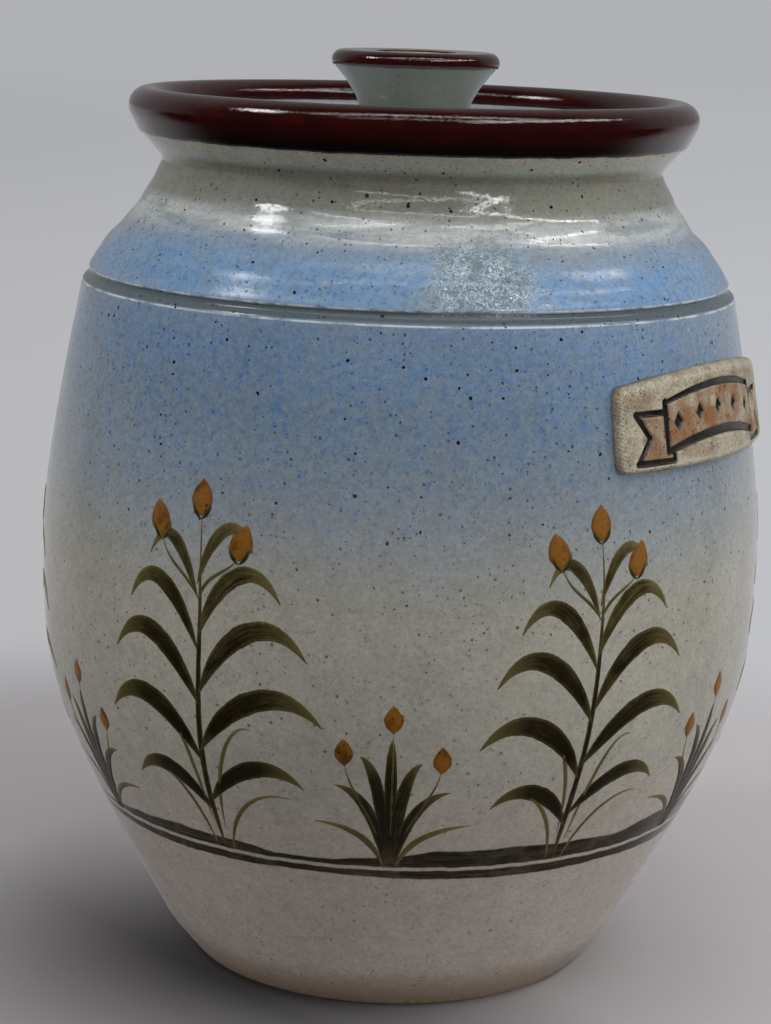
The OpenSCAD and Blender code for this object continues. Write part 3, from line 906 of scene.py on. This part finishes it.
def ribbon_strokes(q):
    """Strokes of a bowed ribbon with swallow-tail ends, in metres about its middle."""
    half, half_h, w, steps = q.field_w / 2, q.field_h / 2, q.press_w / 2, 12
    strokes = []
    for side, heavy in ((1, 1.05), (-1, 1.4)):
        places = [-half + q.field_w * i / steps for i in range(steps + 1)]
        line = [Vector((x, bowed(q, x) + side * half_h)) for x in places]
        swell = [w * heavy * (0.8 + 0.35 * math.sin(math.pi * i / steps)) for i in range(steps + 1)]
        strokes += zip(line, line[1:], swell, swell[1:])
    middle, fold = bowed(q, half), half - TAIL_DROP
    low, high = middle - half_h - TAIL_DROP, middle + half_h - TAIL_DROP
    for side in (-1, 1):
        tail = [Vector((side * x, y)) for x, y in (
            (half, high), (half + 12 * MM, high), (half + 7 * MM, (low + high) / 2),
            (half + 12 * MM, low), (fold, low), (fold, bowed(q, fold) - half_h))]
        strokes += [(a, b, w * 1.15, w) for a, b in zip(tail, tail[1:])]
        end = [Vector((side * half, middle + up * half_h)) for up in (1, -1)]
        strokes.append((*end, w * 1.5, w * 1.1))
    return strokes


def lozenge_middles(q):
    """Middles of the lozenges, evenly spaced along the bowed field."""
    places = [((i + 0.5) / q.lozenges - 0.5) * q.field_w for i in range(q.lozenges)]
    return [Vector((x, bowed(q, x))) for x in places]


def in_ribbon(q, p):
    """1 inside the ribbon's field, a little less in its tails, else 0."""
    half = q.field_w / 2
    if abs(p.x) < half:
        return 1.0 if abs(p.y - bowed(q, p.x)) < q.field_h / 2 else 0.0
    in_tail = abs(p.x) < half + 10 * MM and abs(p.y - bowed(q, half) + TAIL_DROP) < q.field_h / 2
    return 0.85 if in_tail else 0.0


def pressed_depth(p, strokes, lozenges):
    """How deep in a stroke or a lozenge a point lies, below 0 outside."""
    depths = [near_stroke(p, stroke) for low, high, stroke in strokes if low < p.x < high]
    for m in lozenges:
        if abs(p.x - m.x) < 2.5 * MM:
            depths.append(1.5 - 1.5 * (abs(p.x - m.x) / (2.4 * MM) + abs(p.y - m.y) / (3.2 * MM)))
    return max(depths + [-1.0])


def plaque_mesh(s, q):
    """Slab bent on to the wall: soft edges, a notched end, pressed lines, and a back sunk into the wall."""
    columns, rows, corner = 250, 96, 3.2 * MM
    sunk, soft_edge, notched, reach = 0.4 * MM, 2.2 * MM, 2.6 * MM, 1.6 * MM
    face_r = wall_radius(s, q.low_z) + q.thick
    half = face_r * q.arc / 2
    crown_r = ((face_r * math.sin(q.arc / 2)) ** 2 + q.crown ** 2) / (2 * q.crown)
    crown_z = q.low_z + q.end_h + q.crown - crown_r
    middle_z = q.low_z + (q.end_h + q.crown) / 2
    strokes = [(min(m[0].x, m[1].x) - reach, max(m[0].x, m[1].x) + reach, m) for m in ribbon_strokes(q)]
    lozenges = lozenge_middles(q)
    radii = {}

    def top_at(x):
        return crown_z + math.sqrt(crown_r ** 2 - (face_r * math.sin(x / face_r)) ** 2)

    front, ground, pressed, field, edges = [], [], [], [], []
    for i, j in ((i, j) for i in range(columns + 1) for j in range(rows + 1)):
        # Place on the slab: across runs from -1 to 1, v from 0 at the lower edge to 1
        across, v = 2 * i / columns - 1, j / rows
        gap = min(v, 1 - v) * (top_at(half * across) - q.low_z)
        cut = corner - math.sqrt(corner ** 2 - (corner - gap) ** 2) if gap < corner else 0.0
        x = (half - cut) * across
        top = top_at(x)
        wobble = abs(noise.noise(Vector((x * 90, v * 2.0, 4.0)))) * (1 - 2 * v)
        z = q.low_z + v * (top - q.low_z) + 0.35 * MM * wobble
        inset = max(0.0, min(half - cut - abs(x), z - q.low_z, top - z))

        # Level above the wall: soft edges, pressed lines with a burr beside them, and a lumpy face
        here = Vector((x, z - middle_z))
        depth = pressed_depth(here, strokes, lozenges)
        press = held(depth * 2.2)
        press = press * press * (3 - 2 * press)
        burr = max(0.0, 1 - abs(depth + 0.28) / 0.3) if depth < 0 else 0.0
        soft = min(1.0, inset / soft_edge)
        lump = 0.5 + 0.5 * noise.noise(Vector((x * 130, z * 130, 1.7)))
        level = q.thick * (0.3 + 0.7 * math.sqrt(1 - (1 - soft) ** 2))
        level -= soft * (q.press_d * press + 0.26 * MM * lump + 0.07 * MM * (1 - burr))

        # Notched end
        left = half - cut + x
        if left < notched:
            tooth = 0.5 + 0.5 * math.sin(math.tau * (z + 0.55 * left) / (1.15 * MM))
            level -= 0.32 * MM * tooth * min(1.0, (notched - left) / MM) * min(1.0, gap / (1.5 * MM))

        # Bent round the jar
        key = round(z, 7)
        if key not in radii:
            radii[key] = wall_radius(s, z)
        turn = q.turn - math.pi / 2 + x / face_r
        for spots, out in ((front, radii[key] + level), (ground, radii[key] - sunk)):
            spots.append(Vector((out * math.cos(turn), out * math.sin(turn), z)))
        pressed.append(press)
        field.append(in_ribbon(q, here) * (1 - press))
        # Share of the painted highlight on the rounded edge
        edges.append(max(0.0, 1 - abs(inset / soft_edge - 0.75)) ** 2)

    place = lambda i, j: i * (rows + 1) + j
    faces = [(place(i, j), place(i + 1, j), place(i + 1, j + 1), place(i, j + 1))
             for i in range(columns) for j in range(rows)]

    # Closed behind: sides along the front's rim, then a back in strips with a cap at each end
    rim = [place(i, 0) for i in range(columns + 1)]
    rim += [place(columns, j) for j in range(1, rows + 1)]
    rim += [place(i, rows) for i in range(columns - 1, -1, -1)]
    rim += [place(0, j) for j in range(rows - 1, 0, -1)]
    back = {k: len(front) + n for n, k in enumerate(rim)}
    faces += [(a, back[a], back[b], b) for a, b in zip(rim, rim[1:] + rim[:1])]
    faces += [(back[place(i, 0)], back[place(i, rows)], back[place(i + 1, rows)], back[place(i + 1, 0)])
              for i in range(1, columns - 1)]
    for end, inner, order in ((0, 1, range(rows + 1)), (columns, columns - 1, range(rows, -1, -1))):
        corners = [back[place(inner, order[-1])], back[place(inner, order[0])]]
        faces.append([back[place(end, j)] for j in order] + corners)
    mesh = bpy.data.meshes.new("pressed_plaque")
    mesh.from_pydata(front + [ground[k] for k in rim], [], faces)
    for title, values in (("pressed", pressed), ("field", field), ("edge", edges)):
        mark(mesh, title, values + [0.0] * len(rim))
    mesh.shade_smooth()
    return faced_out(mesh)


# The brushed frieze


class Brush:
    """Gathers closed, flat strokes with their centre lines in x and y and their thickness in z."""

    def __init__(self):
        self.spots, self.faces, self.marks, self.layer = [], [], [], 0.8

    def stroke(self, a, b, c, d, width, belly=0.42, amber=0.0, load=0.3, rows=16):
        """One stroke along a curve, pointed at both ends and widest at its belly."""
        line = bezier(*(Vector(p) * MM for p in (a, b, c, d)), rows)
        start = len(self.spots)
        self.layer += 0.04
        for i, p in enumerate(line):
            t = i / rows
            way = (line[min(i + 1, rows)] - line[max(i - 1, 0)]).normalized()
            side = Vector((way.y, -way.x))
            swell = (t / belly) if t < belly else (1 - t) / (1 - belly)
            half = width * MM / 2 * max(0.05, math.sin(math.pi / 2 * swell) ** 0.8)
            half *= 1 + 0.08 * noise.noise(Vector((p.x * 700, p.y * 700, width)))
            for across, lift in ((-1, -1.6), (-0.72, 0.7), (0, 1), (0.72, 0.7), (1, -1.6)):
                spot = p + side * half * across
                self.spots.append((spot.x, spot.y, lift * self.layer))
                self.marks.append((t, across, amber, load))
        for j in range(start, start + rows * 5, 5):
            self.faces += [(k, k + 5, k + 6, k + 1) for k in range(j, j + 4)]
            self.faces.append((j, j + 4, j + 9, j + 5))
        end = start + rows * 5
        self.faces += [range(start, start + 5), range(end + 4, end - 1, -1)]

    def mesh(self, name):
        mesh = bpy.data.meshes.new(name)
        mesh.from_pydata(self.spots, [], self.faces)
        for title, values in zip(("along", "across", "amber", "load"), zip(*self.marks)):
            mark(mesh, title, values)
        return mesh


def leafy_spray(tall):
    """A tall stem with paired arching leaves, thin blades at its foot and round amber buds."""
    brush, k = Brush(), tall / (104 * MM)
    at = lambda x, y: (x * k, y * k)
    for x, y, tip, top in ((-3, -3, -24, 21), (3, -3, 27, 17), (-2, 6, -15, 40), (2, 4, 17, 37)):
        brush.stroke(at(x, y), at(x * 1.5, y + (top - y) * 0.5), at(tip * 0.5, top + 3), at(tip, top),
                     1.7 * k, belly=0.4, load=0.75, rows=18)
    brush.stroke(at(0, -3), at(-2.5, 30), at(4, 60), at(1, 98), 2.6 * k, belly=0.16, load=0.22, rows=28)
    for y, reach, rise, width, load in (
            (9, 30, 13, 6.6, 0.06), (25, 36, 18, 8.0, 0.12), (42, 32, 20, 7.4, 0.2),
            (58, 25, 19, 6.2, 0.3), (73, 17, 16, 4.6, 0.42)):
        for side in (-1, 1):
            x0, y0 = (0.9 if y > 40 else -0.5), y + (3.5 if side > 0 else 0)
            long = reach * (1.04 if side > 0 else 0.93) * side
            brush.stroke(at(x0, y0), at(long * 0.22, y0 + rise * 0.8), at(long * 0.66, y0 + rise * 1.45),
                         at(long, y0 + rise * 0.62), width * k, belly=0.5, load=load + 0.05 * side, rows=22)
    for x, y, lean in ((1, 96, 0), (-12, 89, -4), (13.5, 85, 4)):
        if lean:
            brush.stroke(at(1.5, 72), at(x * 0.2, 80), at(x * 0.8, 80), at(x, y),
                         1.3 * k, belly=0.3, load=0.55, rows=10)
        brush.stroke(at(x, y - 1), at(x - 0.4, y + 2), at(x + lean * 0.4, y + 5), at(x + lean * 0.5, y + 9),
                     8.6 * k, belly=0.46, amber=1.0, rows=14)
        for side in (-1, 1):
            brush.stroke(at(x, y - 2), at(x + side * 1.8, y - 0.6), at(x + side * 3, y + 1),
                         at(x + side * 2.9, y + 3.6), 1.5 * k, belly=0.4, load=0.3, rows=8)
    return brush.mesh("leafy_spray")


def short_tuft(tall):
    """A low fan of blades with three amber buds."""
    brush, k = Brush(), tall / (44 * MM)
    at = lambda x, y: (x * k, y * k)
    for x, tip, top, width, load in (
            (-2, -23, 12, 2.6, 0.6), (-1.5, -16, 24, 4.6, 0.15), (-0.8, -8.5, 33, 5, 0.1),
            (0, 0.6, 38, 4.4, 0.05), (0.8, 9, 31, 5, 0.2), (1.5, 17.5, 22, 4.4, 0.15),
            (2, 25, 11, 2.6, 0.65)):
        brush.stroke(at(x, -3), at(x + tip * 0.1, top * 0.5), at(tip * 0.5, top * 0.95), at(tip, top),
                     width * k, belly=0.42, load=load, rows=18)
    for x, y in ((-13, 31), (0.8, 41), (14.5, 29)):
        brush.stroke(at(x * 0.3, 8), at(x * 0.5, y * 0.55), at(x * 0.9, y * 0.7), at(x, y),
                     1.2, belly=0.3, load=0.5, rows=10)
        brush.stroke(at(x, y - 1), at(x, y + 1.5), at(x, y + 3.8), at(x, y + 7),
                     6.6 * k, belly=0.48, amber=1.0, rows=12)
    return brush.mesh("short_tuft")


def frieze_tree():
    """Repeats two flat motifs round the jar and lays them on its wall."""
    tree, given = new_group("Brushed frieze", "Frieze", {
        "Tall Spray": ("Geometry", None), "Short Tuft": ("Object", None), "Jar Wall": ("Object", None),
        "Sprays": ("Int", 6), "Belly Radius": ("Float", 110 * MM), "Ground Height": ("Float", 57 * MM),
        "First Spray Turn": ("Float", 0.0), "Lift": ("Float", 0.1 * MM), "Seed": ("Int", 7),
        "Finish": ("Material", None)})
    radius = given["Belly Radius"]
    pitch = radius * math.tau / given["Sprays"]

    def shape_of(name):
        return flow(tree, "GeometryNodeObjectInfo", {"Object": given[name]}, "Geometry",
                    transform_space="RELATIVE")

    def drawn(low, high):
        return flow(tree, "FunctionNodeRandomValue", {2: low, 3: high, "Seed": given["Seed"]}, 1,
                    data_type="FLOAT")

    def copies(motif, start):
        line = flow(tree, "GeometryNodeMeshLine", {
            "Count": given["Sprays"], "Start Location": vector_of(tree, start, 0.0, 0.0),
            "Offset": vector_of(tree, pitch, 0.0, 0.0)}, mode="OFFSET")
        size, lean = drawn(0.93, 1.05), drawn(-0.035, 0.035)
        return flow(tree, "GeometryNodeInstanceOnPoints", {
            "Points": line, "Instance": motif, "Scale": vector_of(tree, size, size, 1.0),
            "Rotation": vector_of(tree, 0.0, 0.0, lean)})

    both = joined(tree, "GeometryNodeJoinGeometry", {0: copies(given["Tall Spray"], 0.0)})
    copies(shape_of("Short Tuft"), pitch * 0.5).into(both.inputs[0])
    real = flow(tree, "GeometryNodeRealizeInstances", {0: Flow(tree, both.outputs[0])})

    x, y, layer = flow(tree, "GeometryNodeInputPosition").xyz()
    turn = x / radius + given["First Spray Turn"]
    cos, sin, far = turn.reckoned("COSINE"), turn.reckoned("SINE"), radius * 2.0
    struck = joined(tree, "GeometryNodeRaycast", {
        "Target Geometry": shape_of("Jar Wall"), "Ray Length": far,
        "Source Position": vector_of(tree, cos * far, sin * far, y + given["Ground Height"]),
        "Ray Direction": vector_of(tree, cos * -1.0, sin * -1.0, 0.0)})
    hit, normal = (Flow(tree, struck.outputs[name]) for name in ("Hit Position", "Hit Normal"))
    out = flow(tree, "ShaderNodeVectorMath", {0: normal, "Scale": layer * given["Lift"]}, operation="SCALE")
    laid = flow(tree, "ShaderNodeVectorMath", {0: hit, 1: out}, operation="ADD")
    placed = flow(tree, "GeometryNodeSetPosition", {"Geometry": real, "Position": laid})
    hand_out(tree, placed, given["Finish"])
    return tree


# The stage


def area_light(name, place, size, power, mirrored=True):
    """Soft light aimed at the jar, out of the camera's sight. A fill light isn't mirrored in the glaze."""
    lamp = bpy.data.lights.new(name, "AREA")
    lamp.shape, lamp.energy = "RECTANGLE", power
    lamp.size, lamp.size_y = size
    obj = on_stage(name, lamp)
    obj.location = place
    obj.rotation_euler = (LIGHTS_AIM - Vector(place)).to_track_quat("-Z", "Y").to_euler()
    obj.visible_camera = False
    obj.visible_glossy = mirrored


def ray_kinds(tree):
    """1 where the camera looks straight at a place, and 1 where the glaze mirrors it."""
    seen = tree.nodes.new("ShaderNodeLightPath").outputs
    return Flow(tree, seen["Is Camera Ray"]), Flow(tree, seen["Is Glossy Ray"])


def floor_finish():
    """Pale table that passes softly into a grey backdrop behind the jar."""
    finish = bpy.data.materials.new("pale_table")
    tree = bare_tree(finish)
    spot = on_object(tree)
    x, y, _ = spot.xyz()
    far = flow(tree, "ShaderNodeVectorMath", {0: spot}, "Value", operation="LENGTH")
    looked_at, mirrored = ray_kinds(tree)
    aside = abs(x) * -0.6 + y

    # Table, lighter to the right and darker towards the front as painted light and shade, with a painted
    # shadow of the jar at its front left that only the camera sees
    top = spot.noise(6.0, 2.0).between(0.3, 0.7, 0.0, 0.5).blend(tint("A9A6A8"), tint("B2AFB1"))
    top = x.between(-0.1, 0.12).blend(top, tint("BFBCBE"))
    top = (x * 0.35 + y).between(0.0, -0.3, smooth=True).blend(top, tint("878384"))
    painted_shadow = (y * 0.88 + x).between(-0.09, 0.01, 1.0, 0.12) * far.between(0.058, 0.155, 0.95, 0.0)
    top = (painted_shadow * looked_at).blend(top, tint("141313"))
    # Where the glaze mirrors the table in front of it, the table is painted near black: a painted dark
    # reflection
    top = (mirrored * aside.between(-0.02, -0.2)).blend(top, tint("0C0B0B"))

    # Backdrop: a glowing grey, lighter to the right and darker far off as painted light
    side = (x / (y + 0.9).most(0.5)).between(-0.16, 0.16)
    near, distant = side.blend(tint("B8B8BB"), tint("C0C1C5")), side.blend(tint("ABACB0"), tint("B4B6BA"))
    behind = far.between(0.5, 4.0, smooth=True).blend(near, distant)
    off = far * y.between(-0.4, -1.2, 1.0, 4.0)
    behind = off.between(4.0, 7.6, smooth=True).blend(behind, tint("B0B1B5"))
    seen = looked_at.most(mirrored * aside.between(-0.1, 0.3))
    both = flow(tree, "ShaderNodeMixShader", {
        0: far.between(0.27, 0.42, smooth=True) * seen, 1: flow(tree, "ShaderNodeBsdfDiffuse", {0: top}),
        2: flow(tree, "ShaderNodeEmission", {0: behind, 1: 1.0})})
    joined(tree, "ShaderNodeOutputMaterial", {0: both})
    return finish


def floor_mesh():
    """Round table in rings, from the jar's foot far out behind the camera."""
    rings, around = (0.15, 0.3, 0.6, 1.5, 8.0), 96
    turns = [math.tau * i / around for i in range(around)]
    spots = [(0, 0, 0)] + [(r * math.cos(a), r * math.sin(a), 0) for r in rings for a in turns]
    faces = []
    for i in range(around):
        a, b = 1 + i, 1 + (i + 1) % around
        faces.append((0, a, b))
        faces += [(a + k, a + k + around, b + k + around, b + k) for k in range(0, around * 4, around)]
    mesh = bpy.data.meshes.new("pale_table")
    mesh.from_pydata(spots, [], faces)
    mesh.materials.append(floor_finish())
    return mesh


def soft_room():
    """Even grey room light, with the backdrop's grey for what the camera sees of it."""
    world = bpy.data.worlds.new("grey_room")
    tree = bare_tree(world)
    looked_at, mirrored = ray_kinds(tree)
    behind = on_object(tree).xyz()[1].between(-0.05, 0.55, 0.03, 0.55, smooth=True)
    strength = flow(tree, "ShaderNodeMix", {0: mirrored, 2: 0.42, 3: behind})
    light = flow(tree, "ShaderNodeBackground", {0: (*tint("B9B9BB"), 1), 1: strength})
    sight = flow(tree, "ShaderNodeBackground", {0: (*tint("B0B1B5"), 1), 1: 1.0})
    both = flow(tree, "ShaderNodeMixShader", {0: looked_at, 1: light, 2: sight})
    joined(tree, "ShaderNodeOutputWorld", {0: both})
    bpy.context.scene.world = world


def photo_camera():
    """Camera where the photograph was taken: slightly above the rim, a little down and tilted."""
    down, roll, side = (math.radians(degrees) for degrees in (11.623, 1.85, -0.337))
    ahead = Vector((math.sin(side) * math.cos(down), math.cos(side) * math.cos(down), -math.sin(down)))
    right = Vector((math.cos(side), -math.sin(side), 0))
    up = right.cross(ahead)
    level, tall = right * math.cos(roll) + up * math.sin(roll), up * math.cos(roll) - right * math.sin(roll)
    data = bpy.data.cameras.new("photo_camera")
    data.sensor_width, data.lens = 36, 92.925
    data.clip_start, data.clip_end = 0.05, 40
    camera = on_stage("photo_camera", data)
    turn = Matrix((level, tall, -ahead)).transposed().to_4x4()
    camera.matrix_world = Matrix.Translation((0, -0.80285, 0.30238)) @ turn
    bpy.context.scene.camera = camera


# Operators


class ThrowJar(bpy.types.Operator):
    """Throws the jar's wall in one piece from foot ring to rolled rim"""
    bl_idname = "biscuit_jar.throw_jar"
    bl_label = "Throw the jar"

    def execute(self, context):
        s, r, c = context.scene.jar_sizes, context.scene.rim_and_lid_sizes, context.scene.jar_colours
        wall = turned_piece("thrown_jar", wall_outline(s, r), wall_finish(c), 280, 1,
                            rings=s.ring_depth, spacing=s.ring_space, uneven=s.uneven)
        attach(wall, "jar")
        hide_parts("jar_body")
        return {"FINISHED"}


class DipRim(bpy.types.Operator):
    """Dips the rolled rim in dark red glaze"""
    bl_idname = "biscuit_jar.dip_rim"
    bl_label = "Dip the rim"

    def execute(self, context):
        r, c = context.scene.rim_and_lid_sizes, context.scene.jar_colours
        glaze = dark_finish(c, "rim_dark_red_glaze", r.rim_z - 10.5 * MM, r.rim_z - 6.5 * MM)
        coat = turned_piece("dipped_rim", coat_outline(r), glaze, 360, 2, edge=0.45 * MM)
        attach(coat, "jar")
        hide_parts("rim_glaze")
        return {"FINISHED"}


class PressPlaque(bpy.types.Operator):
    """Presses a bowed ribbon into a slab of clay and lays it on the shoulder"""
    bl_idname = "biscuit_jar.press_plaque"
    bl_label = "Press the plaque"

    def execute(self, context):
        s, q, c = context.scene.jar_sizes, context.scene.plaque_sizes, context.scene.jar_colours
        plaque = on_stage("pressed_plaque", plaque_mesh(s, q))
        plaque.data.materials.append(plaque_finish(c))
        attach(plaque, "jar")
        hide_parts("plaque")
        return {"FINISHED"}


class BrushFrieze(bpy.types.Operator):
    """Brushes evenly spaced leafy sprays and tufts round the belly"""
    bl_idname = "biscuit_jar.brush_frieze"
    bl_label = "Brush the frieze"

    def execute(self, context):
        s, b, c = context.scene.jar_sizes, context.scene.brush_sizes, context.scene.jar_colours
        wall = bpy.data.objects.get("thrown_jar")
        if wall is None:
            raise RuntimeError("throw the jar before its frieze is brushed")
        tuft = on_stage("tuft_pattern", short_tuft(b.short))
        frieze = on_stage("brushed_frieze", leafy_spray(b.tall))
        lay = frieze.modifiers.new("frieze", "NODES")
        lay.node_group = frieze_tree()
        set_inputs(lay, {
            "Short Tuft": tuft, "Jar Wall": wall, "Sprays": b.sprays, "Belly Radius": s.belly_r,
            "Ground Height": b.base_z, "First Spray Turn": math.radians(-120), "Lift": b.lift,
            "Seed": b.seed, "Finish": brush_finish(c)})
        made_plain(frieze, "brushed_frieze")
        bpy.data.objects.remove(tuft)
        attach(frieze, "jar")
        return {"FINISHED"}


class ThrowLid(bpy.types.Operator):
    """Throws the lid's disc with the locating ring under it"""
    bl_idname = "biscuit_jar.throw_lid"
    bl_label = "Throw the lid"

    def execute(self, context):
        r, c = context.scene.rim_and_lid_sizes, context.scene.jar_colours
        glaze = plain_glaze("lid_blue_grey_glaze", c.lid, tint("C0CDD2"), 0.14, bare_colour=c.clay)
        lid = turned_piece("thrown_lid", lid_outline(r), glaze, 220, 3, uneven=0.5 * MM)
        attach(lid, "lid_and_knob")
        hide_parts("lid")
        return {"FINISHED"}


class ThrowKnob(bpy.types.Operator):
    """Throws the flared knob and dips its top in dark red glaze"""
    bl_idname = "biscuit_jar.throw_knob"
    bl_label = "Throw the knob"

    def execute(self, context):
        r, c = context.scene.rim_and_lid_sizes, context.scene.jar_colours
        glaze = plain_glaze("knob_grey_green_glaze", c.knob, tint("5D6057"), 0.3,
                            top_z=r.knob_z - 1.6 * MM, top_colour=c.spot)
        knob = turned_piece("thrown_knob", knob_outline(r), glaze, 160, 4,
                            rings=0.3 * MM, spacing=4 * MM, uneven=0.3 * MM)
        glaze = dark_finish(c, "knob_dark_red_glaze", r.knob_z - 6 * MM, r.knob_z - 3.4 * MM)
        coat = turned_piece("dipped_knob", knob_coat_outline(r), glaze, 200, 5, edge=0.35 * MM)
        for piece, node, slot in ((knob, "lid_knob", "knob_glaze_pale"), (coat, "knob_glaze", "dark_glaze")):
            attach(piece, "lid_and_knob")
            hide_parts(node)
        return {"FINISHED"}


class SetStage(bpy.types.Operator):
    """Lays the pale table and sets the soft lights, the room and the camera"""
    bl_idname = "biscuit_jar.set_stage"
    bl_label = "Set the stage"

    def execute(self, context):
        on_stage("pale_table", floor_mesh())
        area_light("right_strip", (0.75, -0.41, 1.06), (1.40, 0.030), 3.8)
        area_light("right_fill", (1.35, -0.24, 0.46), (1.2, 0.7), 7.8, mirrored=False)
        area_light("left_window", (-0.73, -0.21, 0.96), (0.20, 0.17), 2.1)
        area_light("left_fill", (-1.33, -0.16, 0.46), (1.0, 0.7), 4.2, mirrored=False)
        area_light("front_strip", (0.14, -0.79, 1.10), (1.3, 0.026), 1.2)
        area_light("front_glow", (0.05, -0.39, 1.12), (1.3, 0.06), 2.3)
        area_light("front_fill", (0.2, -1.8, 0.60), (1.8, 0.8), 5.7, mirrored=False)
        area_light("back_fill", (0.1, 1.0, 1.25), (1.8, 0.7), 6.0, mirrored=False)
        soft_room()
        photo_camera()
        context.scene.view_settings.view_transform = "Standard"
        return {"FINISHED"}


class JarPanel(bpy.types.Panel):
    bl_idname = "VIEW3D_PT_biscuit_jar"
    bl_label = "Biscuit jar"
    bl_space_type = "VIEW_3D"
    bl_region_type = "UI"
    bl_category = "Biscuit jar"

    def draw(self, context):
        for step in STEPS:
            self.layout.operator(step.bl_idname)
        for name, group in GROUPS.items():
            box = self.layout.box()
            box.label(text=name.replace("_", " ").capitalize())
            for field in group.__annotations__:
                box.prop(getattr(context.scene, name), field)


STEPS = [ThrowJar, DipRim, PressPlaque, BrushFrieze, ThrowLid, ThrowKnob, SetStage]


def register():
    for cls in [*GROUPS.values(), *STEPS, JarPanel]:
        bpy.utils.register_class(cls)
    for name, group in GROUPS.items():
        setattr(bpy.types.Scene, name, bpy.props.PointerProperty(type=group))


def unregister():
    for name in GROUPS:
        delattr(bpy.types.Scene, name)
    for cls in reversed([*GROUPS.values(), *STEPS, JarPanel]):
        bpy.utils.unregister_class(cls)


def main():
    register()
    for step in STEPS:
        group, name = step.bl_idname.split(".")
        getattr(getattr(bpy.ops, group), name)()
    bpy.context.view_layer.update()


if __name__ == "__main__":
    main()
